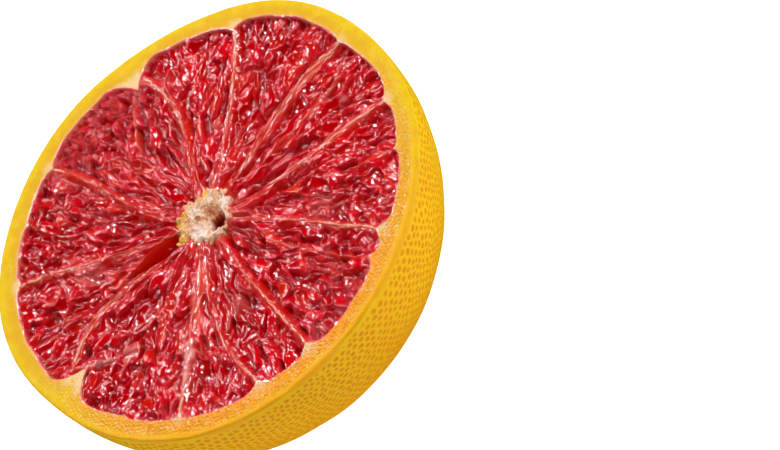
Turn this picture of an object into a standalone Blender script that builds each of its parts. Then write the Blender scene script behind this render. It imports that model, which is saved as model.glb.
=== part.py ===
"""Half grapefruit, cut across the middle: dome down on its small flat spot, cut face up."""

import math

import bmesh
import bpy

# ------------------------------------------------------------- driving sizes, metres and degrees
EQUATOR_RADIUS = 0.0500            # widest radius, at the cut
DEPTH = 0.0440                     # from the flat spot up to the cut face
DOME_POWER = 2.04                  # 2 is an ellipse, more is squarer at the pole
FLAT_RADIUS = 0.0085               # flat spot that the fruit rests on
SCAR_RADIUS = 0.0026               # blossom scar in the middle of the flat spot
SCAR_DEPTH = 0.0006
RIM_ROUND = 0.0005                 # soft corner between skin and cut face

PEEL_WALL = 0.0047                 # skin and pith together, at the cut
PULP_SHIFT = (0.0007, -0.0004)     # the pulp sits a little off the fruit's axis
CORE_RADIUS = 0.0064               # white middle that the membranes run out from
CORE_CENTRE = (0.0006, 0.0007)
MEMBRANE_WALL = 0.0009             # thin wall left between two segments
CORNER_ROUND = 0.0026              # how far a segment's outer corners draw in

POCKET_EDGE = 0.0013               # pulp level below the cut, along a membrane
POCKET_MIDDLE = 0.0005             # pulp level below the cut, mid segment
SAC_WIDTH = 0.0034                 # juice sacs, modelled as soft ridges in the pulp
SAC_LENGTH = 0.0085
SAC_HEIGHT = 0.00045

# Membranes: direction at the pith, then at the core, anticlockwise from +X.
MEMBRANES = [
    (2.0, 5.0), (39.0, 33.0), (71.0, 63.0), (106.0, 114.0), (142.0, 150.0), (181.0, 172.0),
    (221.0, 221.0), (245.0, 239.0), (261.0, 258.0), (297.0, 300.0), (336.0, 331.0),
]

DISH_CENTRE = (0.0016, -0.0009)    # shallow dish worn into the core
DISH_RADIUS = 0.0042
DISH_DEPTH = 0.0009
HOLE_CENTRE = (0.0015, -0.0029)    # small hole near the edge of the dish
HOLE_RADIUS = 0.0014
HOLE_DEPTH = 0.0060

SPLIT_MIDDLE = (-0.0124, 0.0051)   # torn gap that opens out from the core
SPLIT_LENGTH = 0.0130
SPLIT_WIDTH = 0.0038
SPLIT_DEPTH = 0.0060
SPLIT_TURN = 165.0

ROUND_STEPS = 72                   # facets round the dome
DOME_ROWS = 15                     # rows up the dome
POCKET_ROWS = 12                   # rows out along a segment
LIFT = 0.0020                      # how far a cutter stands clear of the face

FRUIT_COLOUR = (0.93, 0.62, 0.06, 1.0)
FRUIT_ROUGHNESS = 0.45

PULP_RADIUS = EQUATOR_RADIUS - PEEL_WALL


def clearScene():
    for item in list(bpy.data.objects):
        bpy.data.objects.remove(item, do_unlink=True)


def makeCollection(name):
    collection = bpy.data.collections.new(name)
    bpy.context.scene.collection.children.link(collection)
    return collection


def makeMaterial(name, colour, roughness):
    material = bpy.data.materials.new(name)
    material.use_nodes = True
    shader = material.node_tree.nodes["Principled BSDF"]
    shader.inputs["Base Color"].default_value = colour
    shader.inputs["Roughness"].default_value = roughness
    shader.inputs["Metallic"].default_value = 0.0
    material.diffuse_color = colour
    return material


def addObject(name, work, collection):
    """Turn a finished bmesh into a named object."""
    mesh = bpy.data.meshes.new(name)
    work.to_mesh(mesh)
    work.free()
    item = bpy.data.objects.new(name, mesh)
    collection.objects.link(item)
    return item


def domeOutline():
    """Radius and height from the middle of the cut, down the skin, to the blossom scar."""
    rimLevel = DEPTH - RIM_ROUND
    startAngle = math.asin((FLAT_RADIUS / EQUATOR_RADIUS) ** (DOME_POWER / 2.0))
    poleDrop = rimLevel / math.cos(startAngle) ** (2.0 / DOME_POWER)
    outline = [
        (0.0, DEPTH),
        (EQUATOR_RADIUS - RIM_ROUND, DEPTH),
        (EQUATOR_RADIUS - RIM_ROUND * 0.3, DEPTH - RIM_ROUND * 0.3),
    ]
    for row in range(DOME_ROWS, -1, -1):
        angle = startAngle + (math.pi / 2.0 - startAngle) * row / DOME_ROWS
        radius = EQUATOR_RADIUS * math.sin(angle) ** (2.0 / DOME_POWER)
        drop = poleDrop * abs(math.cos(angle)) ** (2.0 / DOME_POWER)
        outline.append((radius, rimLevel - drop))
    outline[-1] = (FLAT_RADIUS, 0.0)
    outline.append((SCAR_RADIUS, 0.0))
    outline.append((SCAR_RADIUS * 0.6, SCAR_DEPTH * 0.8))
    outline.append((0.0, SCAR_DEPTH))
    return outline


def buildDome(name, collection):
    """The whole half, turned from one outline."""
    work = bmesh.new()
    corners = [work.verts.new((radius, 0.0, height)) for radius, height in domeOutline()]
    for upper, lower in zip(corners, corners[1:]):
        work.edges.new((upper, lower))
    item = addObject(name, work, collection)
    turn = item.modifiers.new("turn", "SCREW")
    turn.axis = "Z"
    turn.steps = ROUND_STEPS
    turn.render_steps = ROUND_STEPS
    turn.use_merge_vertices = True
    turn.merge_threshold = 0.00001
    return item


def pithDistance(angle):
    """From the middle of the core out to the pith, in one direction."""
    dx = CORE_CENTRE[0] - PULP_SHIFT[0]
    dy = CORE_CENTRE[1] - PULP_SHIFT[1]
    along = dx * math.cos(angle) + dy * math.sin(angle)
    return -along + math.sqrt(along ** 2 + PULP_RADIUS ** 2 - dx ** 2 - dy ** 2)


def sacRise(across, outward, columns):
    """Soft ridges of the juice sacs, in rows that are staggered like brickwork."""
    row = math.floor(outward / SAC_LENGTH)
    along = outward / SAC_LENGTH - row
    shift = 0.5 if row % 2 else 0.0
    ridge = 0.5 - 0.5 * math.cos(math.pi * across * columns + 2.0 * math.pi * shift)
    return SAC_HEIGHT * ridge * math.sin(math.pi * (0.15 + 0.7 * along))


def buildPocket(name, first, second, collection):
    """Cutter for one segment: a grid laid into the segment's outline, then extruded up."""
    width = math.radians(second[0] - first[0]) * PULP_RADIUS
    sacs = max(2, round(width / SAC_WIDTH))
    work = bmesh.new()
    bmesh.ops.create_grid(work, x_segments=2 * sacs, y_segments=POCKET_ROWS, size=1.0)
    for corner in work.verts:
        across = corner.co.x
        share = 0.5 + 0.5 * corner.co.y
        left = math.radians(first[1] + (first[0] - first[1]) * share)
        right = math.radians(second[1] + (second[0] - second[1]) * share)
        angle = 0.5 * (left + right) + 0.5 * (right - left) * across
        reach = pithDistance(angle) - CORNER_ROUND * abs(across) ** 5
        outward = CORE_RADIUS + (reach - CORE_RADIUS) * share
        angle -= 0.5 * MEMBRANE_WALL / outward * across
        pillow = (1.0 - across ** 4) * (1.0 - (2.0 * share - 1.0) ** 6)
        level = POCKET_EDGE - (POCKET_EDGE - POCKET_MIDDLE) * pillow
        level -= sacRise(across, outward, sacs) * pillow
        corner.co.x = CORE_CENTRE[0] + outward * math.cos(angle)
        corner.co.y = CORE_CENTRE[1] + outward * math.sin(angle)
        corner.co.z = DEPTH - level
    raised = bmesh.ops.extrude_face_region(work, geom=work.faces[:])
    for part in raised["geom"]:
        if isinstance(part, bmesh.types.BMVert):
            part.co.z = DEPTH + LIFT
    bmesh.ops.recalc_face_normals(work, faces=work.faces)
    return addObject(name, work, collection)


def buildDish(name, collection):
    """Ball that leaves the shallow dish in the core."""
    ball = (DISH_RADIUS ** 2 + DISH_DEPTH ** 2) / (2.0 * DISH_DEPTH)
    work = bmesh.new()
    bmesh.ops.create_uvsphere(work, u_segments=32, v_segments=32, radius=ball)
    item = addObject(name, work, collection)
    item.location = (DISH_CENTRE[0], DISH_CENTRE[1], DEPTH - DISH_DEPTH + ball)
    return item


def buildHole(name, collection):
    """Tapered plug for the small hole in the core."""
    work = bmesh.new()
    bmesh.ops.create_cone(work, cap_ends=True, segments=14, radius1=HOLE_RADIUS * 0.45,
                          radius2=HOLE_RADIUS * 1.25, depth=HOLE_DEPTH + LIFT)
    item = addObject(name, work, collection)
    item.location = (HOLE_CENTRE[0], HOLE_CENTRE[1], DEPTH + (LIFT - HOLE_DEPTH) / 2.0)
    return item


def buildSplit(name, collection):
    """Long leaf-shaped gap: an egg stretched along the tear and sunk to the cut face."""
    work = bmesh.new()
    bmesh.ops.create_uvsphere(work, u_segments=20, v_segments=12, radius=1.0)
    for corner in work.verts:
        corner.co.x *= SPLIT_LENGTH / 2.0
        corner.co.y *= SPLIT_WIDTH / 2.0
        corner.co.z *= SPLIT_DEPTH
    item = addObject(name, work, collection)
    item.location = (SPLIT_MIDDLE[0], SPLIT_MIDDLE[1], DEPTH)
    item.rotation_euler = (0.0, 0.0, math.radians(SPLIT_TURN))
    return item


def cutWith(item, cutter):
    cut = item.modifiers.new(cutter.name, "BOOLEAN")
    cut.operation = "DIFFERENCE"
    cut.solver = "EXACT"
    cut.object = cutter
    cutter.hide_render = True
    cutter.display_type = "WIRE"


def buildGrapefruit():
    clearScene()
    parts = makeCollection("grapefruit")
    cutters = makeCollection("grapefruit_cutters")

    half = buildDome("grapefruit_half", parts)
    half.data.materials.append(makeMaterial("fruit", FRUIT_COLOUR, FRUIT_ROUGHNESS))

    for index, first in enumerate(MEMBRANES):
        second = MEMBRANES[(index + 1) % len(MEMBRANES)]
        if second[0] < first[0]:
            second = (second[0] + 360.0, second[1] + 360.0)
        cutWith(half, buildPocket("pocket_%02d" % (index + 1), first, second, cutters))
    cutWith(half, buildDish("core_dish", cutters))
    cutWith(half, buildHole("core_hole", cutters))
    cutWith(half, buildSplit("split", cutters))


buildGrapefruit()
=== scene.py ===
import math
import bpy
import numpy as np
from mathutils import Matrix, Vector


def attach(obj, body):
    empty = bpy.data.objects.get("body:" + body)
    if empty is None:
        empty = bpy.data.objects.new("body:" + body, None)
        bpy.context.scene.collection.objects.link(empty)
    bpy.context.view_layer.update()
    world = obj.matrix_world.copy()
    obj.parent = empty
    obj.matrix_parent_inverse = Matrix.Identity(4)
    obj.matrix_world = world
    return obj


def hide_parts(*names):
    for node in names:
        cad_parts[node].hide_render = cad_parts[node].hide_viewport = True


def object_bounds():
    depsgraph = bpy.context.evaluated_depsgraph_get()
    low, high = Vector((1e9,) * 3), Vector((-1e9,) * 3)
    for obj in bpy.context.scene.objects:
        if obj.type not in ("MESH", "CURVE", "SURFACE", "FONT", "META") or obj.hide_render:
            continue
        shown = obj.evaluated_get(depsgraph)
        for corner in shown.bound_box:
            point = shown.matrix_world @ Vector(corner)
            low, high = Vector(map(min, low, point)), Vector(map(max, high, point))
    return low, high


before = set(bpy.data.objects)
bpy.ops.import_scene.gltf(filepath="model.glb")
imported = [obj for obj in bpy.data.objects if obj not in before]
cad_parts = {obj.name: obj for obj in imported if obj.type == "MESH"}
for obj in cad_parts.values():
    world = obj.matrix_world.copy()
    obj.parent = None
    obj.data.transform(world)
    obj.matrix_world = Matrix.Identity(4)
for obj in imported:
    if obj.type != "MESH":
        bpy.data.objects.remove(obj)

cadLow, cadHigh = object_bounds()
mm = 0.001
face = cadHigh.z               # level of the cut
equator = (cadHigh.x - cadLow.x) / 2
fruitNode = "grapefruit_half"
print("frame loaded, cut face at %.1f mm" % (face / mm))


# ---- small helpers ----

def clearSelection():
    if bpy.context.object and bpy.context.object.mode != "OBJECT":
        bpy.ops.object.mode_set(mode="OBJECT")
    bpy.ops.object.select_all(action="DESELECT")


def addGrid(name, across, along):
    clearSelection()
    bpy.ops.mesh.primitive_grid_add(x_subdivisions=across, y_subdivisions=along, size=2)
    piece = bpy.context.object
    piece.name = name
    piece.data.name = name
    return piece


def readPoints(piece):
    flat = np.empty(len(piece.data.vertices) * 3, dtype=np.float32)
    piece.data.vertices.foreach_get("co", flat)
    return flat.reshape(-1, 3).astype(np.float64)


def layerValues(piece, name):
    values = np.empty(len(piece.data.vertices), dtype=np.float32)
    piece.data.attributes[name].data.foreach_get("value", values)
    return values


def writePoints(piece, points):
    piece.data.vertices.foreach_set("co", np.asarray(points, dtype=np.float32).ravel())
    piece.data.update()


def paint(piece, name, values):
    layer = piece.data.attributes.get(name)
    if layer is None:
        layer = piece.data.attributes.new(name, "FLOAT", "POINT")
    layer.data.foreach_set("value", np.asarray(values, dtype=np.float32))


def mergeSeam(piece):
    clearSelection()
    piece.select_set(True)
    bpy.context.view_layer.objects.active = piece
    bpy.ops.object.mode_set(mode="EDIT")
    bpy.ops.mesh.select_all(action="SELECT")
    bpy.ops.mesh.remove_doubles(threshold=0.000002)
    bpy.ops.object.mode_set(mode="OBJECT")


def closeBelow(piece, depth):
    # walls straight down from the open border, then a floor
    selectBorder(piece)
    bpy.ops.mesh.extrude_region_move(TRANSFORM_OT_translate={"value": (0, 0, -depth)})
    bpy.ops.mesh.edge_face_add()
    faceOutward()


def selectBorder(piece):
    # edit mode, with only the open edges of the mesh selected
    clearSelection()
    piece.select_set(True)
    bpy.context.view_layer.objects.active = piece
    bpy.ops.object.mode_set(mode="EDIT")
    bpy.ops.mesh.select_mode(type="EDGE")
    bpy.ops.mesh.select_all(action="DESELECT")
    bpy.ops.mesh.select_non_manifold(extend=False, use_wire=False, use_multi_face=False,
                                     use_non_contiguous=False, use_verts=False)


def faceOutward():
    # from edit mode back to object mode, with every face turned out
    bpy.ops.mesh.select_all(action="SELECT")
    bpy.ops.mesh.normals_make_consistent(inside=False)
    bpy.ops.object.mode_set(mode="OBJECT")


def closeInside(piece):
    # the skin turns in under the rim, runs down behind the pulp and closes there
    selectBorder(piece)
    bpy.ops.mesh.extrude_region_move()
    bpy.ops.transform.resize(value=(0.965, 0.965, 1), center_override=(0, 0, 0))
    bpy.ops.mesh.extrude_region_move(TRANSFORM_OT_translate={"value": (0, 0, -12 * mm)})
    bpy.ops.transform.resize(value=(0.93, 0.93, 1), center_override=(0, 0, 0))
    bpy.ops.mesh.edge_face_add()
    faceOutward()


def handOver(piece, material):
    # smooth shading, the finish, and its place in the frame
    clearSelection()
    piece.select_set(True)
    bpy.context.view_layer.objects.active = piece
    bpy.ops.object.shade_smooth()
    piece.data.materials.clear()
    piece.data.materials.append(material)
    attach(piece, "root")
    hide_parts(fruitNode)


def waves(x, y, size, seed, layers=4):
    # smooth wandering values from -1 to 1, the sum of a few turned sine waves
    dice = np.random.default_rng(seed)
    total = np.zeros_like(x)
    for layer in range(layers * 3):
        turn = dice.uniform(0, 2 * math.pi)
        pitch = size * dice.uniform(0.6, 1.6)
        total += np.sin(2 * math.pi * (x * math.cos(turn) + y * math.sin(turn)) / pitch
                        + dice.uniform(0, 2 * math.pi))
    return total / math.sqrt(layers * 3) * 0.9


def smooth(low, high, value):
    t = np.clip((value - low) / (high - low), 0, 1)
    return t * t * (3 - 2 * t)


# ---- layout of the cut, in millimetres on the face ----

layout = {
    "core": (0.6, 0.7),        # the core sits off the middle
    "coreRadius": 6.3,
    "pithMiddle": (0.7, -0.35),
    "pithRadius": 45.2,
    "wall": 0.28,              # half thickness of a membrane at the pith, thinner further in
}

# membranes: direction at the pith, half way and at the core, how far the pith reaches in there,
# how wide that corner is, and how high the membrane stands against the pulp
membranes = [
    {"turn": (2.7, 6.7, 3.0), "notch": 1.0, "corner": 4.0, "proud": 0.0},
    {"turn": (39.3, 34.5, 32.1), "notch": 1.6, "corner": 4.5, "proud": 0.1},
    {"turn": (73.0, 61.8, 63.5), "notch": 5.2, "corner": 7.5, "proud": 0.05},
    {"turn": (107.0, 109.8, 124.0), "notch": 1.3, "corner": 4.0, "proud": 0.05},
    {"turn": (142.1, 144.3, 153.0), "notch": 1.4, "corner": 3.5, "proud": 0.15},
    {"turn": (182.5, 169.0, 180.0), "notch": 6.6, "corner": 7.0, "proud": -0.10},
    {"turn": (221.0, 221.7, 218.7), "notch": 1.2, "corner": 3.5, "proud": 0.15},
    {"turn": (245.0, 234.5, 229.0), "notch": 1.8, "corner": 3.5, "proud": -0.20},
    {"turn": (261.2, 259.7, 256.2), "notch": 2.2, "corner": 4.0, "proud": 0.15},
    {"turn": (297.4, 298.6, 300.3), "notch": 2.6, "corner": 5.0, "proud": 0.15},
    {"turn": (336.3, 332.6, 320.0), "notch": 1.6, "corner": 4.5, "proud": 0.05},
]
seams = [  # weaker lines that start at the pith and fade out in the pulp
    {"turn": (70.0, 86.0, 100.0), "reach": (23.0, 40.5), "notch": 0.0, "corner": 2.0, "strong": 1.0},
    {"turn": (124.1, 131.0, 131.0), "reach": (29.0, 44.0), "notch": 0.6, "corner": 2.5, "strong": 0.7},
    {"turn": (203.5, 200.0, 199.0), "reach": (30.0, 44.0), "notch": 0.8, "corner": 2.5, "strong": 0.6},
    {"turn": (174.0, 203.0, 232.0), "reach": (28.0, 39.5), "notch": 0.0, "corner": 2.5, "strong": 1.0,
     "pale": True},
    {"turn": (289.5, 286.0, 284.0), "reach": (18.0, 44.0), "notch": 1.3, "corner": 3.5, "strong": 0.7},
    {"turn": (320.5, 318.5, 317.0), "reach": (31.0, 45.0), "notch": 0.8, "corner": 2.5, "strong": 0.7},
]
# neither edge is a true circle: direction, and mm out (+) or in (-)
pithShape = [(0, 0.0), (8, 0.8), (25, 1.5), (35, 0.6), (46, -0.7), (60, 0.0), (80, -0.2), (94, 0.8),
             (115, 0.5), (132, 1.0), (152, 1.4), (166, 0.8), (200, 0.1), (230, 0.6), (250, -0.5),
             (274, 0.6), (290, -0.6), (310, 0.3), (322, -0.3), (345, 0.9)]
outline = [(0, 0.3), (22, 0.85), (35, 0.3), (50, -1.0), (70, -1.5), (88, -0.7), (120, -0.5),
           (150, 0.35), (165, -0.4), (180, -1.3), (200, -0.8), (228, 0.0), (300, 0.0), (340, 0.3)]


def shapeAt(shape, angle):
    # the mm of a shape list in a direction (radians), smoothly between its entries
    turns = [entry[0] for entry in shape]
    values = [entry[1] for entry in shape]
    degrees = np.degrees(angle)
    total = np.zeros_like(degrees)
    for shift in (-6, -3, 0, 3, 6):
        total += np.interp(degrees + shift, turns, values, period=360)
    return total / 5


def directionAt(turn, reach):
    # direction of a membrane at a distance from the core, a curve through its three values
    outer, middle, inner = turn
    a, b, c = 8.0, 26.0, 44.0
    return (inner * (reach - b) * (reach - c) / ((a - b) * (a - c))
            + middle * (reach - a) * (reach - c) / ((b - a) * (b - c))
            + outer * (reach - a) * (reach - b) / ((c - a) * (c - b)))


def pithEdge(angle):
    # distance from the core to the pith in a direction (radians), notched at each membrane
    dx = layout["core"][0] - layout["pithMiddle"][0]
    dy = layout["core"][1] - layout["pithMiddle"][1]
    along = dx * np.cos(angle) + dy * np.sin(angle)
    reach = -along + np.sqrt(along ** 2 + layout["pithRadius"] ** 2 - dx ** 2 - dy ** 2)
    whole = reach.copy()
    for line in membranes + seams:
        off = np.abs((angle - math.radians(line["turn"][0]) + math.pi) % (2 * math.pi) - math.pi)
        near = np.clip(1 - off * whole / line["corner"], 0, 1)
        reach -= line["notch"] * near ** 2.2
    reach += shapeAt(pithShape, angle) + 0.12 * np.sin(angle * 23 + 0.4) + 0.08 * np.sin(angle * 41)
    return reach


def coreEdge(angle):
    # distance from the core's middle to its edge, with a small nub beside the torn gap
    nub = (angle - math.radians(176) + math.pi) % (2 * math.pi) - math.pi
    ragged = (0.35 * np.sin(angle * 3 + 0.8) + 0.3 * np.sin(angle * 7 + 2.1)
              + 0.22 * np.sin(angle * 11 + 0.3))
    return layout["coreRadius"] + ragged + 2.0 * np.exp(-(nub / 0.15) ** 2)


def onFace(angle, reach):
    return layout["core"][0] + reach * np.cos(angle), layout["core"][1] + reach * np.sin(angle)


# ---- finishes ----

def startFinish(name):
    material = bpy.data.materials.new(name)
    material.use_nodes = True
    tree = material.node_tree
    return material, tree, tree.nodes["Principled BSDF"]


def addRamp(tree, source, stops):
    ramp = tree.nodes.new("ShaderNodeValToRGB")
    while len(ramp.color_ramp.elements) < len(stops):
        ramp.color_ramp.elements.new(0.5)
    for element, (place, colour) in zip(ramp.color_ramp.elements, stops):
        element.position = place
        element.color = (*colour, 1)
    tree.links.new(source, ramp.inputs[0])
    return ramp.outputs[0]


def blendColours(tree, factor, first, second):
    mix = tree.nodes.new("ShaderNodeMix")
    mix.data_type = "RGBA"
    for socket, value in ((mix.inputs[0], factor), (mix.inputs[6], first), (mix.inputs[7], second)):
        if isinstance(value, bpy.types.NodeSocket):
            tree.links.new(value, socket)
        elif isinstance(value, tuple):
            socket.default_value = (*value, 1)
        else:
            socket.default_value = value
    return mix.outputs[2]


def scaled(tree, source, gain, lift=0.0):
    node = tree.nodes.new("ShaderNodeMath")
    node.operation = "MULTIPLY_ADD"
    node.use_clamp = True
    tree.links.new(source, node.inputs[0])
    node.inputs[1].default_value = gain
    node.inputs[2].default_value = lift
    return node.outputs[0]


def attributeValue(tree, name):
    node = tree.nodes.new("ShaderNodeAttribute")
    node.attribute_name = name
    return node.outputs["Fac"]


def objectNoise(tree, size, detail, rough):
    # noise whose blobs are about size millimetres across
    place = tree.nodes.new("ShaderNodeTexCoord").outputs["Object"]
    noise = tree.nodes.new("ShaderNodeTexNoise")
    noise.inputs["Scale"].default_value = 0.7 / (size * mm)
    noise.inputs["Detail"].default_value = detail
    noise.inputs["Roughness"].default_value = rough
    tree.links.new(place, noise.inputs["Vector"])
    return noise.outputs["Fac"]


def addBump(tree, shader, height, depth):
    # depth in mm
    bump = tree.nodes.new("ShaderNodeBump")
    bump.inputs["Distance"].default_value = depth * mm
    tree.links.new(height, bump.inputs["Height"])
    tree.links.new(bump.outputs[0], shader.inputs["Normal"])


pulpFinish = {
    "dark": (0.42, 0.0, 0.001), "middle": (0.55, 0.0, 0.002), "light": (0.72, 0.001, 0.006),
    # the deep colour is painted shade for surface that lies low
    # the pale pink colour is partly painted sheen
    "wall": (0.74, 0.04, 0.065), "veil": (0.86, 0.32, 0.29), "deep": (0.38, 0.0, 0.0005),
    "warm": (0.66, 0.012, 0.001), "near": (0.73, 0.07, 0.038), "rough": 0.3, "coatRough": 0.03,
}


def makePulpFinish():
    material, tree, shader = startFinish("pulp")
    look = pulpFinish
    tone = attributeValue(tree, "tone")
    colour = addRamp(tree, tone, [(0.0, look["dark"]), (0.5, look["middle"]), (1.0, look["light"])])
    patchy = scaled(tree, objectNoise(tree, 1.6, 4.0, 0.6), 2.6, -0.8)
    colour = blendColours(tree, scaled(tree, patchy, 0.45), colour, look["dark"])
    colour = blendColours(tree, attributeValue(tree, "warm"), colour, look["warm"])
    colour = blendColours(tree, scaled(tree, attributeValue(tree, "wall"), 0.32), colour, look["wall"])
    # painted shade: sacs that lie deep and the lower slope of the torn gap are darkened
    colour = blendColours(tree, scaled(tree, attributeValue(tree, "deep"), 0.85), colour, look["deep"])
    colour = blendColours(tree, attributeValue(tree, "near"), colour, look["near"])
    # pale pink: partly painted sheen for soft reflections, partly the pale colour of torn tissue, fibres
    # and the line by the pith
    colour = blendColours(tree, attributeValue(tree, "veil"), colour, look["veil"])
    tree.links.new(colour, shader.inputs["Base Color"])
    shader.inputs["Roughness"].default_value = look["rough"]
    shader.inputs["IOR"].default_value = 1.38
    shader.inputs["Subsurface Weight"].default_value = 0.06
    shader.inputs["Subsurface Radius"].default_value = (1.0, 0.05, 0.04)
    shader.inputs["Subsurface Scale"].default_value = 0.8 * mm
    shader.inputs["Specular IOR Level"].default_value = 0.0
    shader.inputs["Coat Weight"].default_value = 1.0
    shader.inputs["Coat IOR"].default_value = 1.72
    shader.inputs["Coat Roughness"].default_value = look["coatRough"]
    fine = objectNoise(tree, 0.55, 3.0, 0.6)
    addBump(tree, shader, fine, 0.008)
    return material


rimFinish = {
    "inner": (0.82, 0.46, 0.17), "pith": (0.72, 0.38, 0.012), "outer": (0.69, 0.42, 0.004),
    # the low colour is painted shade
    "edge": (0.75, 0.50, 0.001), "corner": (0.82, 0.55, 0.28), "low": (0.94, 0.33, 0.008),
    # the speck colour is a painted highlight
    "tan": (0.76, 0.31, 0.008), "lemon": (0.80, 0.54, 0.03), "sparkleSpeck": (0.92, 0.68, 0.36),
    "rough": 0.5,
}


def makeRimFinish():
    material, tree, shader = startFinish("pith_and_peel_edge")
    look = rimFinish
    across = attributeValue(tree, "across")
    ragged = tree.nodes.new("ShaderNodeMath")      # adds, so that the bands of colour wander
    tree.links.new(across, ragged.inputs[0])
    tree.links.new(scaled(tree, objectNoise(tree, 1.7, 4.0, 0.65), 0.36, -0.18), ragged.inputs[1])
    bands = [(0.0, look["inner"]), (0.03, look["inner"]), (0.14, look["pith"]),
             (0.40, look["outer"]), (0.62, look["edge"]), (1.0, look["edge"])]
    colour = addRamp(tree, ragged.outputs[0], bands)
    mottle = scaled(tree, objectNoise(tree, 1.2, 4.0, 0.65), 5.0, -2.2)
    colour = blendColours(tree, scaled(tree, mottle, 0.5), colour, look["tan"])
    lemon = scaled(tree, objectNoise(tree, 1.9, 3.0, 0.6), 6.0, -3.2)
    colour = blendColours(tree, scaled(tree, lemon, 0.6), colour, look["lemon"])
    # painted shade: oranger toward the side at 255 degrees, as on the skin
    colour = blendColours(tree, scaled(tree, attributeValue(tree, "low"), 0.85), colour, look["low"])
    # painted highlight: pale specks on the grainy side of the rim stand in for sparkling glints
    pale = scaled(tree, objectNoise(tree, 0.36, 2.0, 0.5), 7.0, -3.9)
    pale = blendColours(tree, attributeValue(tree, "grainy"), (0.02, 0.02, 0.02), pale)
    colour = blendColours(tree, scaled(tree, pale, 0.8), colour, look["sparkleSpeck"])
    colour = blendColours(tree, attributeValue(tree, "corner"), colour, look["corner"])
    tree.links.new(colour, shader.inputs["Base Color"])
    shader.inputs["Roughness"].default_value = look["rough"]
    shader.inputs["Subsurface Weight"].default_value = 0.15
    shader.inputs["Subsurface Radius"].default_value = (1.0, 0.5, 0.1)
    shader.inputs["Subsurface Scale"].default_value = 0.8 * mm
    shader.inputs["Specular IOR Level"].default_value = 0.06
    tree.links.new(scaled(tree, attributeValue(tree, "grainy"), 0.35), shader.inputs["Coat Weight"])
    shader.inputs["Coat Roughness"].default_value = 0.16
    grain = blendColours(tree, attributeValue(tree, "grainy"), (0.5, 0.5, 0.5),
                         objectNoise(tree, 0.35, 3.0, 0.6))
    addBump(tree, shader, grain, 0.30)
    return material


skinFinish = {
    "light": (0.88, 0.63, 0.001), "warm": (0.85, 0.54, 0.001), "pore": (0.76, 0.25, 0.0005),
    # the low colour is painted shade
    "low": (0.92, 0.40, 0.001), "scar": (0.42, 0.24, 0.08), "rough": 0.36,
}


def makeSkinFinish():
    material, tree, shader = startFinish("skin")
    look = skinFinish
    drift = scaled(tree, objectNoise(tree, 14.0, 2.0, 0.5), 2.0, -0.5)
    colour = blendColours(tree, drift, look["light"], look["warm"])
    # painted shade: oranger and darker toward the underside and the side at 255 degrees
    colour = blendColours(tree, attributeValue(tree, "low"), colour, look["low"])
    spots = attributeValue(tree, "pore")
    spotMask = addRamp(tree, spots, [(0.08, (0, 0, 0)), (0.38, (1, 1, 1))])
    colour = blendColours(tree, scaled(tree, spotMask, 0.95), colour, look["pore"])
    colour = blendColours(tree, attributeValue(tree, "scar"), colour, look["scar"])
    tree.links.new(colour, shader.inputs["Base Color"])
    shader.inputs["Roughness"].default_value = look["rough"]
    shader.inputs["Subsurface Weight"].default_value = 0.2
    shader.inputs["Subsurface Radius"].default_value = (1.0, 0.45, 0.1)
    shader.inputs["Subsurface Scale"].default_value = 1.0 * mm
    shader.inputs["Specular IOR Level"].default_value = 0.12
    addBump(tree, shader, objectNoise(tree, 0.5, 3.0, 0.5), 0.03)
    return material


membraneFinish = {
    "body": (0.78, 0.17, 0.10), "pale": (0.87, 0.40, 0.24), "sunk": (0.66, 0.06, 0.045),
}


def makeMembraneFinish():
    material, tree, shader = startFinish("membrane")
    look = membraneFinish
    outward = attributeValue(tree, "outward")
    bands = [(0.0, look["sunk"]), (0.25, look["sunk"]), (0.60, look["body"]), (0.97, look["pale"])]
    colour = addRamp(tree, outward, bands)
    streak = scaled(tree, objectNoise(tree, 1.0, 3.0, 0.6), 2.4, -0.7)
    colour = blendColours(tree, scaled(tree, streak, 0.4), colour, look["body"])
    colour = blendColours(tree, attributeValue(tree, "side"), colour, look["sunk"])
    tree.links.new(colour, shader.inputs["Base Color"])
    shader.inputs["Roughness"].default_value = 0.28
    shader.inputs["Subsurface Weight"].default_value = 0.4
    shader.inputs["Subsurface Radius"].default_value = (1.0, 0.3, 0.12)
    shader.inputs["Subsurface Scale"].default_value = 0.9 * mm
    shader.inputs["Coat Weight"].default_value = 0.5
    shader.inputs["Coat Roughness"].default_value = 0.08
    addBump(tree, shader, objectNoise(tree, 0.4, 2.0, 0.5), 0.08)
    return material


coreFinish = {
    "flesh": (0.84, 0.54, 0.33), "white": (0.90, 0.72, 0.61), "warm": (0.70, 0.28, 0.05),
    "rust": (0.46, 0.09, 0.02), "yellow": (0.86, 0.46, 0.04), "hole": (0.30, 0.006, 0.002),
}


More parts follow.
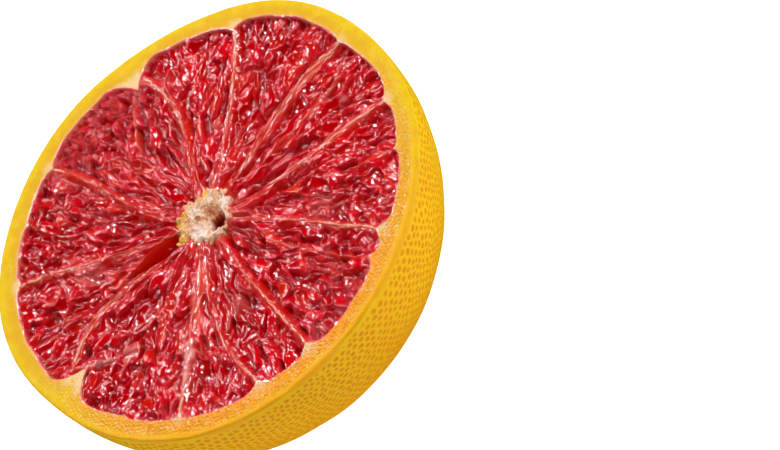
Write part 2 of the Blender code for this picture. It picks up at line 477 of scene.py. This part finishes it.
def makeCoreFinish():
    material, tree, shader = startFinish("core_pith")
    look = coreFinish
    patches = scaled(tree, objectNoise(tree, 1.1, 4.0, 0.7), 7.0, -3.1)
    colour = blendColours(tree, patches, look["warm"], look["flesh"])
    fibres = scaled(tree, objectNoise(tree, 0.45, 3.0, 0.6), 6.0, -2.7)
    colour = blendColours(tree, attributeValue(tree, "white"), colour, look["white"])
    colour = blendColours(tree, scaled(tree, fibres, 0.5), colour, look["white"])
    colour = blendColours(tree, attributeValue(tree, "edge"), colour, look["yellow"])
    browned = blendColours(tree, scaled(tree, objectNoise(tree, 0.7, 3.0, 0.6), 4.0, -1.5), (0, 0, 0),
                           attributeValue(tree, "rust"))
    colour = blendColours(tree, browned, colour, look["rust"])
    # painted shade: the pit in the core is coloured dark red-brown, over the red of the flesh down there
    colour = blendColours(tree, attributeValue(tree, "hole"), colour, look["hole"])
    tree.links.new(colour, shader.inputs["Base Color"])
    shader.inputs["Roughness"].default_value = 0.35
    shader.inputs["Subsurface Weight"].default_value = 0.2
    shader.inputs["Subsurface Radius"].default_value = (1.0, 0.5, 0.3)
    shader.inputs["Subsurface Scale"].default_value = 0.6 * mm
    addBump(tree, shader, objectNoise(tree, 0.4, 3.0, 0.65), 0.25)
    return material


# ---- skin: a ball of even triangles, each first corner a pore ----

skin = {
    "poreRows": 6,             # ball subdivisions that set the pores, about 1.9 mm apart
    "poreDepth": 0.11,         # mm
    "jitter": 0.42,            # mm that a pore wanders
    "bare": 0.9,               # mm under the rim with no pores
    "power": 2.04,             # squareness of the dome
    "flat": 8.5,               # mm radius of the flat spot
    "scar": 2.6,
    "rimDrop": 0.5,            # mm from the face down to the widest line
}


def domeRadius(height):
    # radius in mm of the dome at a height in mm
    top = face / mm - skin["rimDrop"]
    start = math.asin((skin["flat"] / (equator / mm)) ** (skin["power"] / 2))
    full = top / math.cos(start) ** (2 / skin["power"])
    share = np.clip((top - height) / full, 0, 1)
    return equator / mm * (1 - share ** skin["power"]) ** (1 / skin["power"])


def buildSkin(material):
    clearSelection()
    bpy.ops.mesh.primitive_ico_sphere_add(subdivisions=skin["poreRows"], radius=1)
    piece = bpy.context.object
    piece.name = "skin"
    bpy.ops.object.mode_set(mode="EDIT")
    bpy.ops.mesh.select_all(action="SELECT")
    bpy.ops.transform.rotate(value=0.35, orient_axis="X", center_override=(0, 0, 0))
    bpy.ops.mesh.bisect(plane_co=(0, 0, 0), plane_no=(0, 0, 1), clear_outer=True)
    bpy.ops.object.mode_set(mode="OBJECT")
    dice = np.random.default_rng(11)
    points = readPoints(piece)
    count = len(points)
    wander = dice.normal(0, skin["jitter"] / (equator / mm) * 0.7, points.shape)
    wander[np.abs(points[:, 2]) < 0.02] = 0
    points = points + wander
    points /= np.linalg.norm(points, axis=1)[:, None]
    points[:, 2] = np.minimum(points[:, 2], 0)
    writePoints(piece, points)
    pore = dice.uniform(0.55, 1.0, count)
    for step in range(2):
        known = len(piece.data.vertices)
        paint(piece, "pore", np.resize(pore, known) if step == 0 else layerValues(piece, "pore"))
        bpy.ops.object.mode_set(mode="EDIT")
        bpy.ops.mesh.select_all(action="SELECT")
        bpy.ops.mesh.subdivide(number_cuts=1)
        bpy.ops.object.mode_set(mode="OBJECT")
        if step == 0:
            values = layerValues(piece, "pore")
            values[known:] = 0
            paint(piece, "pore", values)
    points = readPoints(piece)
    points /= np.maximum(np.linalg.norm(points, axis=1), 1e-6)[:, None]
    pore = layerValues(piece, "pore")
    # ball to dome: keep the direction round the axis, set height and radius from the outline
    slope = np.arcsin(np.clip(-points[:, 2], 0, 1))  # 0 at the cut, pi/2 at the pole
    top = face / mm - skin["rimDrop"]
    start = math.asin((skin["flat"] / (equator / mm)) ** (skin["power"] / 2))
    full = top / math.cos(start) ** (2 / skin["power"])
    drop = full * np.sin(slope) ** (2 / skin["power"])
    flatRadius = equator / mm * np.cos(slope) ** (2 / skin["power"])
    height = np.maximum(top - drop, 0)
    around = np.arctan2(points[:, 1], points[:, 0])
    flatRadius += shapeAt(outline, around) * smooth(8, top, height)
    x = flatRadius * np.cos(around)
    y = flatRadius * np.sin(around)
    scarDip = 0.6 * (1 - smooth(skin["scar"] * 0.4, skin["scar"], flatRadius))
    bare = smooth(top - skin["bare"] - 0.5, top - skin["bare"], height)
    flat = 1 - smooth(skin["flat"] - 1, skin["flat"] + 2, flatRadius)
    pore = pore * (1 - bare) * (1 - 0.9 * flat)
    dip = skin["poreDepth"] * smooth(0, 1, pore)
    dip -= 0.10 * (waves(x + 0.4 * height, y - 0.3 * height, 17, 5) + 1) * (1 - flat) - 0.10
    outward = np.stack([np.cos(around) * np.cos(slope), np.sin(around) * np.cos(slope),
                        -np.sin(slope)], axis=1)
    shaped = np.stack([x, y, height + scarDip], axis=1) - outward * (dip * (1 - flat))[:, None]
    shaped[:, 2] = np.maximum(shaped[:, 2], 0)
    writePoints(piece, shaped * mm)
    paint(piece, "pore", pore)
    # painted shade: the tint grows toward the underside and toward the side at 255 degrees
    toFront = smooth(0.1, 1.0, np.cos(around - math.radians(255)))
    paint(piece, "low", np.clip(0.75 * (1 - smooth(2, 34, height)) + 0.45 * toFront, 0, 1))
    paint(piece, "scar", 1 - smooth(skin["scar"] * 0.7, skin["scar"] * 1.1, flatRadius))
    closeInside(piece)
    handOver(piece, material)
    print("skin: %d faces" % len(piece.data.polygons))


# ---- rim: the band of peel and pith that the knife left ----

rim = {"columns": 1500, "rows": 56, "deep": 3.5, "grain": 0.13, "round": 0.5}


def buildRim(material):
    piece = addGrid("rim", rim["columns"], rim["rows"])
    points = readPoints(piece)
    angle = (points[:, 0] + 1) * math.pi
    step = (points[:, 1] + 1) / 2       # 0 inside under the pulp, 1 outside on the skin
    inner = pithEdge(angle)
    cx, cy = layout["core"]
    along = cx * np.cos(angle) + cy * np.sin(angle)
    outerReach = -along + np.sqrt(along ** 2 + (equator / mm) ** 2 - cx ** 2 - cy ** 2)
    outerReach += shapeAt(outline, angle)
    low = 0.12                           # share of rows in the wall inside
    high = 0.80                          # share of rows before the outer turn
    flatShare = np.clip((step - low) / (high - low), 0, 1)
    reach = inner + (outerReach - rim["round"] - inner) * flatShare
    z = -rim["deep"] * np.clip(1 - step / low, 0, 1)
    z -= 0.12 * (1 - smooth(0, 0.06, flatShare)) * (step >= low)
    # outer turn: a quarter round, then down the skin
    turn = np.clip((step - high) / (1 - high), 0, 1)
    roundShare = np.clip(turn / 0.55, 0, 1)
    downShare = np.clip((turn - 0.55) / 0.45, 0, 1)
    bend = roundShare * math.pi / 2
    reach = np.where(step > high, outerReach - rim["round"] * (1 - np.sin(bend)), reach)
    z = np.where(step > high, -rim["round"] * (1 - np.cos(bend)), z)
    lowHeight = face / mm - rim["round"] - 1.1 * downShare
    tuck = domeRadius(lowHeight) - equator / mm
    reach = reach + np.where(downShare > 0, tuck + 0.03 - 0.12 * downShare ** 4, 0)
    z = z - 1.1 * downShare
    x, y = onFace(angle, reach)
    top = smooth(0, 0.06, flatShare) * (1 - smooth(0.0, 0.5, turn))
    grainy = smooth(-0.15, 0.75, np.cos(angle - math.radians(262)))
    crumbs = waves(x, y, 0.8, 21) + 0.7 * waves(x, y, 0.45, 23)
    z += rim["grain"] * crumbs * top * (0.05 + 0.95 * grainy * (1 - smooth(0.7, 1.0, flatShare)))
    z += 0.10 * waves(x, y, 7.0, 22) * top
    writePoints(piece, np.stack([x, y, face / mm + z], axis=1) * mm)
    paint(piece, "across", flatShare * 0.75 + turn * 0.25)
    paint(piece, "grainy", grainy * (1 - smooth(0.75, 0.95, flatShare)))
    corner = np.zeros_like(angle)
    for line in membranes:
        off = np.abs((angle - math.radians(line["turn"][0]) + math.pi) % (2 * math.pi) - math.pi)
        width = (0.45 * line["notch"] + 1.0) * (1.15 - flatShare)
        width *= 1 + 0.4 * waves(x, y, 2.4, 24)
        near = 1 - smooth(0.2 * width, 1.3 * width + 0.01, off * reach)
        strength = min(1, 0.4 + line["notch"] / 5)
        corner = np.maximum(corner, near * (1 - smooth(0.2, 0.6, flatShare)) * strength)
    paint(piece, "corner", np.clip(corner, 0, 0.9))
    # painted shade: the tint toward the side at 255 degrees, weaker on the flat top
    low = smooth(0.1, 1.0, np.cos(angle - math.radians(255)))
    paint(piece, "low", low * (1 - 0.35 * smooth(0.4, 0.9, flatShare)))
    mergeSeam(piece)
    selectBorder(piece)
    bpy.ops.mesh.bridge_edge_loops()
    faceOutward()
    handOver(piece, material)
    print("rim: %d faces" % len(piece.data.polygons))


# ---- membranes: thin walls between the segments ----

def wallHalf(reach):
    # half thickness of a membrane at a distance from the core
    return layout["wall"] * (0.45 + 0.55 * smooth(12, 44, reach))


def buildMembrane(name, line, material, seed):
    dice = np.random.default_rng(seed)
    piece = addGrid(name, 150, 14)
    points = readPoints(piece)
    share = (points[:, 0] + 1) / 2
    rimTurn = math.radians(line["turn"][0])
    outer = pithEdge(np.array([rimTurn]))[0] + 1.2
    inner = layout["coreRadius"] - 0.5
    reach = inner + (outer - inner) * share
    angle = np.radians(directionAt(line["turn"], reach))
    around = points[:, 1] * math.pi      # once round the wall's section
    flutter = waves(reach, reach * 0, 2.2, seed) * 0.4
    half = wallHalf(reach) * (1 + 0.5 * flutter)
    side = np.sign(np.sin(around)) * np.abs(np.sin(around)) ** 0.7 * half
    up = np.cos(around)
    wobble = 0.16 * np.sin(reach * 0.45 + dice.uniform(0, 6))
    wobble += 0.12 * waves(reach, reach * 0, 3.0, seed + 50)
    topLevel = line["proud"] - 0.25 + 0.25 * flutter - 0.6 * (1 - smooth(8, 26, reach))
    atPith = smooth(outer - 4, outer - 1, reach)
    topLevel = topLevel * (1 - atPith) - 0.12 * atPith
    z = np.where(up > 0, topLevel - half * 1.2 * (1 - up), topLevel - half * 1.2 + 3.0 * up)
    x, y = onFace(angle, reach)
    x += -np.sin(angle) * (side + wobble)
    y += np.cos(angle) * (side + wobble)
    writePoints(piece, np.stack([x, y, face / mm + z], axis=1) * mm)
    paint(piece, "outward", share)
    paint(piece, "side", 0.6 * smooth(0.1, 0.9, -up + 0.5))
    mergeSeam(piece)
    selectBorder(piece)
    bpy.ops.mesh.fill_holes(sides=0)
    faceOutward()
    handOver(piece, material)


# ---- pulp: packed juice sacs, one mesh to a segment ----

pulp = {
    "columnsPerMm": 7.0, "rows": 290,
    "long": (8.0, 4.9),        # mm, sac length by the core and by the pith
    "wide": (1.6, 2.2),        # mm, sac width by the core and by the pith
    "level": (-1.9, -0.3),     # mm, how deep the sacs lie
    "hollow": (-0.9, -0.3),    # mm, how far a cut-open sac sinks
    "swollen": (0.3, 0.7),     # mm, how far a whole one bulges
    "ridge": 0.42,             # mm, height of the skins between sacs
    "wallWide": 0.11,          # mm, half width of those skins
}
split = {"start": (-4.4, 2.3), "end": (-18.8, 6.3), "width": 4.8, "depth": 4.4}    # torn gap
sheets = [  # where a membrane shows its side: its line, which side, from and to, width in mm
    {"turn": (2.7, 6.7, 3.0), "side": -1, "reach": (11, 43), "wide": 2.0, "strong": 0.75},
    {"turn": (-4.0, -6.8, -8.0), "side": -1, "reach": (13, 41), "wide": 1.1, "strong": 0.6},
    {"turn": (336.3, 332.6, 320.0), "side": 1, "reach": (13, 44), "wide": 1.9, "strong": 0.75},
    {"turn": (39.3, 34.5, 32.1), "side": 1, "reach": (12, 38), "wide": 1.1, "strong": 0.6},
    {"turn": (182.5, 169, 180), "side": 1, "reach": (20, 40), "wide": 1.3, "strong": 0.55},
]
sheenBlots = [  # painted sheen, pale blots in place of soft reflections on the wet pulp: place, size, strength
    (-23.8, 15.4, 3.6, 0.25), (-30.2, -6.5, 1.8, 0.35), (-9.0, -21.3, 2.6, 0.2), (17.3, -22.4, 3.0, 0.2),
]
# how messy each segment's sacs lie, from 0 combed out to 1 tossed about
mess = [0.45, 0.35, 0.45, 0.75, 0.75, 0.45, 0.7, 0.5, 0.9, 0.8, 0.45]
bubbly = {3: 1.0, 4: 0.3, 6: 0.4, 9: 0.4}    # segments with small round cells by the pith


def splitShare(x, y):
    # 1 on the middle line of the torn gap, 0 on its edge, less outside; and how far down its slope
    sx, sy = split["start"]
    ex, ey = split["end"]
    length = math.hypot(ex - sx, ey - sy)
    ux, uy = (ex - sx) / length, (ey - sy) / length
    along = ((x - sx) * ux + (y - sy) * uy) / length
    off = (-(x - sx) * uy + (y - sy) * ux)
    bow = np.sin(math.pi * np.clip(0.22 + 0.78 * along, 0, 1)) ** 0.8
    half = np.maximum(split["width"] / 2 * bow, 0.01)
    inside = np.where((along > -0.05) & (along < 1), 1 - np.abs(off) / half, -1)
    slope = np.clip((off / half + 1) / 1.5, 0, 1)
    return np.maximum(inside, -1), slope


def packSacs(number, first, second, wild, dice):
    # rows of sacs from the core out to the pith, each with its place, lie, size, level and tone
    sacs = []
    bubbles = bubbly.get(number, 0)
    reach = 7.0
    while reach < 48:
        far = reach / 46
        loose = wild * float(smooth(0.15, 0.9, np.array(far)))
        long = pulp["long"][0] + (pulp["long"][1] - pulp["long"][0]) * (0.4 * far + 0.6 * loose)
        wide = pulp["wide"][0] + (pulp["wide"][1] - pulp["wide"][0]) * far
        fine = bubbles * float(smooth(24, 34, np.array(reach)))
        long += (1.9 - long) * fine
        wide += (1.5 - wide) * fine
        low = math.radians(directionAt(first["turn"], reach))
        high = math.radians(directionAt(second["turn"], reach))
        places = max(2, round((high - low) * reach / wide))
        for place in range(-1, places + 1):
            turn = low + (high - low) * (place + 0.5 + dice.uniform(-0.4, 0.4)) / places
            out = reach + dice.uniform(-0.5, 0.5) * long
            atX, atY = onFace(turn, out)
            swell = 0.6 + 1.5 * dice.uniform(0, 1) ** 2
            hollow = dice.uniform(0, 1) < 0.6
            bulge = dice.uniform(*pulp["hollow" if hollow else "swollen"])
            sacs.append({
                "x": atX, "y": atY, "lie": turn + dice.normal(0, math.radians(7 + 28 * loose)),
                "long": long * dice.uniform(0.7, 1.3) / 2, "wide": wide * swell / 2,
                "level": dice.uniform(*pulp["level"]), "bulge": bulge,
                "tilt": dice.uniform(-0.4, 0.4), "lean": dice.uniform(-0.25, 0.25),
                "tone": 0.6 * dice.uniform(0, 1) + 0.4 * (bulge > 0),
                "warm": max(0, dice.uniform(-2.2, 1) * (1.1 - 0.6 * far)),
                "comb": dice.uniform(0, 0.07) * (1 - 0.5 * loose) * (0.4 + 0.6 * (bulge > 0)),
                "pitch": dice.uniform(0.5, 1.2),
            })
        reach += long * 0.62
    return sacs


def sacSurface(x, y, sacs, number):
    # level in mm, tone, and distance in mm to the nearest skin between two sacs
    wx = x + 0.35 * waves(x, y, 5.0, 700 + number)
    wy = y + 0.35 * waves(x, y, 5.0, 800 + number)
    drift = 1.8 * waves(x, y, 3.0, 750 + number)
    nearest = np.full(len(x), 99.0)
    runnerUp = np.full(len(x), 99.0)
    level = np.zeros(len(x))
    nextLevel = np.zeros(len(x))
    tone = np.zeros(len(x))
    warm = np.zeros(len(x))
    width = np.ones(len(x))
    for sac in sacs:
        dx, dy = wx - sac["x"], wy - sac["y"]
        u = (dx * math.cos(sac["lie"]) + dy * math.sin(sac["lie"])) / sac["long"]
        v = (-dx * math.sin(sac["lie"]) + dy * math.cos(sac["lie"])) / sac["wide"]
        away = np.sqrt(u * u + v * v)
        # round across, nearly straight along, with blunt ends
        dome = (1 - np.minimum(v * v, 1.3)) * (1 - 0.8 * np.minimum(u * u, 1) ** 2)
        mine = (sac["level"] + sac["bulge"] * dome
                + sac["tilt"] * np.clip(u, -1, 1)
                + sac["lean"] * np.clip(v, -1, 1)
                + sac["comb"] * np.sin(2 * math.pi * v * sac["wide"] / sac["pitch"] + u + drift))
        first = away < nearest
        second = ~first & (away < runnerUp)
        runnerUp = np.where(first, nearest, np.where(second, away, runnerUp))
        nextLevel = np.where(first, level, np.where(second, mine, nextLevel))
        level = np.where(first, mine, level)
        tone = np.where(first, sac["tone"], tone)
        warm = np.where(first, sac["warm"], warm)
        width = np.where(first, sac["wide"], width)
        nearest = np.where(first, away, nearest)
    border = (runnerUp - nearest) * width * 0.5
    share = 0.5 * np.exp(-border / 0.16)
    level = level * (1 - share) + nextLevel * share
    stand = 0.5 + 0.6 * waves(x, y, 3.0, 600 + number)
    level += pulp["ridge"] * np.clip(stand, 0.0, 1.3) * np.exp(-(border / 0.22) ** 2)
    level += 0.02 * waves(x, y, 1.1, 900 + number)
    return level, tone, warm, border


def buildSegment(number, first, second, material):
    dice = np.random.default_rng(100 + number)
    widest = math.radians(second["turn"][0] - first["turn"][0]) * 44
    columns = int(max(60, widest * pulp["columnsPerMm"]))
    piece = addGrid("pulp_%02d" % number, columns, pulp["rows"])
    points = readPoints(piece)
    across = points[:, 0]
    share = (points[:, 1] + 1) / 2
    reach = 6 + 38 * share
    for settle in range(3):
        left = np.radians(directionAt(first["turn"], reach))
        right = np.radians(directionAt(second["turn"], reach))
        angle = 0.5 * (left + right) + 0.5 * (right - left) * across
        outer = pithEdge(angle) + 0.25
        inner = coreEdge(angle) - 0.8
        reach = inner + (outer - inner) * share
    x, y = onFace(angle, reach)
    toSide = (1 - np.abs(across)) * 0.5 * (right - left) * reach     # mm to the nearest membrane
    toPith = outer - reach

    sacs = packSacs(number, first, second, mess[number - 1], dice)
    level, tone, warm, border = sacSurface(x, y, sacs, number)
    wallNear = np.exp(-(border / pulp["wallWide"]) ** 2)

    # the surface meets the membranes and rolls down to the pith
    shelf = -0.55 - 2.2 * smooth(0.6, 2.6, toSide) + 0.15 * waves(x, y, 1.5, 82)
    level = np.maximum(level, shelf)
    roll = 1 - smooth(0.1, 0.9, toSide)
    edgeDepth = 0.28 + 0.25 * waves(x, y, 5, 300 + number) + 0.5 * (1 - smooth(8, 22, reach))
    level = level * (1 - roll) - edgeDepth * roll
    ringEnd = np.clip(0.7 + 0.4 * waves(x, y, 1.8, 85), 0.45, 1.3)
    rollPith = 1 - smooth(0.25, ringEnd, toPith)
    level = level * (1 - rollPith) - 0.06 * rollPith
    level += 0.25 * waves(x, y, 13, 400 + number) * (1 - roll) * (1 - rollPith)
    strands = 0.75 + 0.35 * waves(toSide * 3, reach * 0.35, 2.0, 81)
    near = 0.75 * np.exp(-(toSide / 0.75) ** 2) * (0.4 + 0.6 * smooth(14, 40, reach)) * strands
    pithRing = np.exp(-(np.maximum(toPith - 0.28, 0) / 0.2) ** 2)
    near = np.maximum(near, 0.9 * pithRing)
    near = np.maximum(near, 0.6 * (1 - smooth(0.2, 1.5, reach - coreEdge(angle))))

    # weaker lines that fade out on the way in
    haze = np.zeros_like(near)
    for seam in seams:
        turn = np.radians(directionAt(seam["turn"], reach))
        away = np.abs((angle - turn + math.pi) % (2 * math.pi) - math.pi) * reach
        away += 0.15 * waves(x, y, 3, 31)
        start, end = seam["reach"]
        there = smooth(start, start + 6, reach) * (1 - smooth(end, end + 1, reach)) * seam["strong"]
        beside = 1 - smooth(0.0, 0.6, away)
        level = level * (1 - 0.8 * beside * there) - 0.15 * 0.8 * beside * there
        near = np.maximum(near, 0.85 * np.exp(-(away / 0.33) ** 2) * there)
        if "pale" in seam:
            haze = np.maximum(haze, 0.7 * np.exp(-(away / 0.5) ** 2) * there)

    # smooth sheets where a membrane shows its side
    sheetPale = np.zeros_like(near)
    for sheet in sheets:
        turn = np.radians(directionAt(sheet["turn"], reach))
        aside = ((angle - turn + math.pi) % (2 * math.pi) - math.pi) * reach * sheet["side"]
        start, end = sheet["reach"]
        wide = sheet["wide"] * (0.75 + 0.25 * waves(reach, reach * 0, 5.0, 84))
        lies = smooth(-0.3, 0.2, aside) * (1 - smooth(0.6 * wide, 1.1 * wide, aside))
        lies *= smooth(start, start + 5, reach) * (1 - smooth(end - 2, end, reach))
        fibres = 0.65 + 0.45 * waves(aside * 2.4, reach * 0.22, 1.2, 83)
        near = np.maximum(near, sheet["strong"] * lies * np.clip(fibres, 0.25, 1.1))
        sheetPale = np.maximum(sheetPale, 0.45 * lies * np.clip(2.5 * (fibres - 0.85), 0, 1))
        level = level * (1 - 0.75 * lies) + (0.3 * (fibres - 0.6) - 0.65) * 0.75 * lies

    # one membrane shows its side, with a pale torn patch on it and a painted highlight streak along it
    bandLine = np.radians(directionAt(membranes[6]["turn"], reach))
    aside = (angle - bandLine) * reach
    band = smooth(-0.2, 0.3, aside) * (1 - smooth(1.2, 2.2, aside))
    band *= smooth(9, 13, reach) * (1 - smooth(24, 29, reach))
    near = np.maximum(near, 0.75 * band)
    level = level * (1 - 0.6 * band) - 0.7 * 0.6 * band
    spread = np.hypot((reach - 31.0) / 2.9, (aside + 0.2) / 1.5) + 0.3 * waves(x, y, 2.2, 77)
    patch = 1 - smooth(0.5, 1.2, spread)
    # painted highlight: a pale streak along the membrane's side in place of a glint
    streak = np.exp(-((aside + 0.2) / 0.7) ** 2) * smooth(30, 33, reach) * (1 - smooth(38, 43, reach))
    level += 0.35 * patch

    # torn gap beside the core
    slot, slope = splitShare(x, y)
    cutIn = smooth(-0.05, 0.25, slot)
    fold = 0.12 * waves(x, y, 3.0, 78)
    level = level * (1 - cutIn) + (-split["depth"] * slope - 0.3 + fold) * cutIn
    near = near * (1 - cutIn) + 0.25 * (1 - smooth(0.05, 0.3, slope)) * cutIn
    warm = warm * (1 - cutIn) + 0.7 * (1 - smooth(0.1, 0.6, slope)) * cutIn
    writePoints(piece, np.stack([x, y, face / mm + level], axis=1) * mm)

    # painted shade: darker where the surface lies deep and down the far slope of the torn gap
    deep = (1 - smooth(-2.0, -0.8, level)) * (1 - cutIn) + smooth(0.35, 0.85, slope) * cutIn
    # painted sheen: loose pale veils and the blots below stand in for soft reflections on the wet pulp
    veil = np.clip(waves(x, y, 6, 500 + number) - 1.5, 0, 1) * 0.4
    for atX, atY, size, strength in sheenBlots:
        away = np.hypot(x - atX, y - atY) / size + 0.3 * waves(x, y, 2.0, 79)
        veil = np.maximum(veil, strength * (1 - smooth(0.3, 1.2, away)))
    veil = np.maximum(np.maximum(veil, haze), np.maximum(patch, 0.9 * streak))
    veil = np.maximum(veil, 0.4 * pithRing)
    veil = np.maximum(veil, sheetPale)
    paint(piece, "tone", tone * (1 - cutIn) + 0.15 * cutIn)
    paint(piece, "warm", np.clip(warm, 0, 1))
    paint(piece, "wall", wallNear * (1 - cutIn))
    paint(piece, "deep", np.clip(deep, 0, 1))
    paint(piece, "veil", np.clip(veil * (1 - cutIn), 0, 1))
    paint(piece, "near", np.clip(near, 0, 1))
    closeBelow(piece, 9 * mm)
    handOver(piece, material)
    print("pulp %d: %d sacs, %d faces" % (number, len(sacs), len(piece.data.polygons)))


# ---- core ----

core = {
    "hole": (1.5, -2.9), "holeRadius": 2.0,
    # patches: place and size
    "white": [(-2.4, -1.3, 2.9), (-0.4, 3.4, 1.8), (5.2, -0.6, 1.9), (4.2, 3.0, 1.3)],
    "rust": [(1.9, 0.6, 1.9), (2.6, -1.4, 1.9), (-0.8, 1.4, 0.9)],
    "yellow": [(-1.9, 5.6, 1.5), (-4.3, 4.8, 1.7), (-6.4, 1.2, 2.0), (4.0, 4.6, 1.2)],
}


def blots(x, y, places, seed):
    # 0 to 1, soft ragged patches
    total = np.zeros_like(x)
    for atX, atY, size in places:
        away = np.hypot(x - atX, y - atY) / size + 0.25 * waves(x, y, 1.6, seed)
        total = np.maximum(total, 1 - smooth(0.45, 1.15, away))
    return total


def buildCore(material):
    piece = addGrid("core", 420, 110)
    points = readPoints(piece)
    angle = (points[:, 0] + 1) * math.pi
    share = (points[:, 1] + 1) / 2
    ragged = (coreEdge(angle) + 0.30 * np.sin(angle * 17)
              + 0.25 * np.sin(angle * 31 + 1) * np.sin(angle * 3))
    reach = ragged * np.clip(share / 0.85, 0, 1)
    x, y = onFace(angle, reach)
    level = -0.25 + 0.35 * waves(x, y, 2.6, 61) + 0.22 * waves(x, y, 1.1, 62) + 0.10 * waves(x, y, 0.5, 63)
    # a hollow, bounded on one side by a raised lip, with a hole in it
    hollow = np.hypot((x - 1.7) / 3.4, (y + 1.0) / 3.0)
    level -= 1.1 * (1 - smooth(0.3, 1.1, hollow))
    lipSide = smooth(0.2, 0.7, np.cos(angle - math.radians(278)))
    lip = np.exp(-((reach - coreEdge(angle) + 1.0) / 0.55) ** 2) * lipSide
    level = level * (1 - lip) + 0.35 * lip
    hole = np.hypot(x - core["hole"][0], (y - core["hole"][1]) * 1.1) + 0.25 * waves(x, y, 1.5, 64)
    holeIn = 1 - smooth(core["holeRadius"] * 0.75, core["holeRadius"] * 1.15, hole)
    level = level * (1 - holeIn) - 3.6 * holeIn
    down = np.clip((share - 0.85) / 0.15, 0, 1)
    level = level - 0.35 * smooth(0.7, 0.85, share) - 3.5 * down
    writePoints(piece, np.stack([x, y, face / mm + level], axis=1) * mm)
    # painted shade: the dark colour fills the pit
    paint(piece, "hole", np.clip(holeIn * 1.3, 0, 1))
    rust = blots(x, y, core["rust"], 66) + 0.9 * np.exp(-((hole - 1.4) / 0.5) ** 2) * (1 - lip)
    paint(piece, "rust", np.clip(rust * (1 - lip), 0, 1))
    paint(piece, "white", np.clip(0.85 * blots(x, y, core["white"], 67) + 0.5 * lip, 0, 1))
    paint(piece, "edge", np.clip(0.85 * blots(x, y, core["yellow"], 68), 0, 1))
    mergeSeam(piece)
    closeBelow(piece, 3 * mm)
    handOver(piece, material)
    print("core done")


# ---- build ----

pulpMaterial = makePulpFinish()
membraneMaterial = makeMembraneFinish()
buildSkin(makeSkinFinish())
buildRim(makeRimFinish())
for index, line in enumerate(membranes):
    following = dict(membranes[(index + 1) % len(membranes)])
    if following["turn"][0] < line["turn"][0]:
        following["turn"] = tuple(value + 360 for value in following["turn"])
    buildSegment(index + 1, line, following, pulpMaterial)
    buildMembrane("membrane_%02d" % (index + 1), line, membraneMaterial, 40 + index)
buildCore(makeCoreFinish())


# ---- stage, light and camera ----

def buildStage():
    clearSelection()
    bpy.ops.mesh.primitive_plane_add(size=12, location=(0, 0, -0.1 * mm))
    floor = bpy.context.object
    floor.name = "floor"
    material, tree, shader = startFinish("pale_floor")
    shader.inputs["Base Color"].default_value = (0.6, 0.6, 0.6, 1)
    shader.inputs["Roughness"].default_value = 0.9
    shader.inputs["Emission Color"].default_value = (1, 1, 1, 1)
    seen = tree.nodes.new("ShaderNodeLightPath").outputs["Is Camera Ray"]
    tree.links.new(scaled(tree, seen, 0.3, 0.7), shader.inputs["Emission Strength"])
    floor.data.materials.append(material)
    floor.visible_glossy = False
    world = bpy.data.worlds.new("studio")
    world.use_nodes = True
    world.node_tree.nodes["Background"].inputs[0].default_value = (1, 1, 1, 1)
    world.node_tree.nodes["Background"].inputs[1].default_value = 0.15
    world.cycles_visibility.glossy = False
    bpy.context.scene.world = world


def addSoftbox(name, place, size, power, aim=(0, 0, 0.04)):
    lamp = bpy.data.lights.new(name, "AREA")
    lamp.shape = "RECTANGLE"
    lamp.size, lamp.size_y = size
    lamp.energy = power
    holder = bpy.data.objects.new(name, lamp)
    bpy.context.scene.collection.objects.link(holder)
    holder.location = place
    holder.rotation_euler = (Vector(aim) - Vector(place)).to_track_quat("-Z", "Y").to_euler()


shot = {
    "distance": 1.35, "lift": 46.9, "roll": 50.4, "lens": 305.3077,
    "aside": (0.038, -0.00118367),    # m, how far right and up of the cut's middle the camera aims
}


def buildCamera():
    data = bpy.data.cameras.new("camera")
    camera = bpy.data.objects.new("camera", data)
    bpy.context.scene.collection.objects.link(camera)
    data.sensor_width = 36
    data.lens = shot["lens"]
    data.clip_start = 0.05
    data.clip_end = 50
    lift = math.radians(shot["lift"])
    roll = math.radians(shot["roll"])
    back = Vector((0, -math.cos(lift), math.sin(lift)))
    level = Vector((1, 0, 0))
    rise = Vector((0, math.sin(lift), math.cos(lift)))
    right = level * math.cos(roll) - rise * math.sin(roll)
    up = level * math.sin(roll) + rise * math.cos(roll)
    middle = Vector((0, 0, face))
    camera.location = middle + back * shot["distance"]
    # aim past the fruit so that it sits left of the middle
    aim = middle + right * shot["aside"][0] + up * shot["aside"][1]
    back = (camera.location - aim).normalized()
    right = up.cross(back).normalized()
    up = back.cross(right)
    camera.rotation_mode = "QUATERNION"
    camera.rotation_quaternion = Matrix((right, up, back)).transposed().to_quaternion()
    bpy.context.scene.camera = camera


buildStage()
# five small lights near the cut's mirror direction make the wet glints, two light the rest
addSoftbox("overhead", (0.0, 0.62, 0.72), (0.10, 0.08), 1.4)
addSoftbox("left", (-0.38, 0.50, 0.68), (0.09, 0.09), 1.3)
addSoftbox("right", (0.40, 0.46, 0.62), (0.09, 0.09), 1.3)
addSoftbox("back", (-0.12, 0.82, 0.48), (0.09, 0.09), 1.2)
addSoftbox("top", (0.10, 0.28, 0.92), (0.09, 0.08), 1.1)
addSoftbox("key", (0.65, -0.30, 0.60), (0.11, 0.11), 4.7)
addSoftbox("fill", (-0.65, -0.10, 0.7), (0.10, 0.10), 1.5)
buildCamera()
scene = bpy.context.scene
scene.view_settings.view_transform = "Standard"
print("stage, lights and camera set")
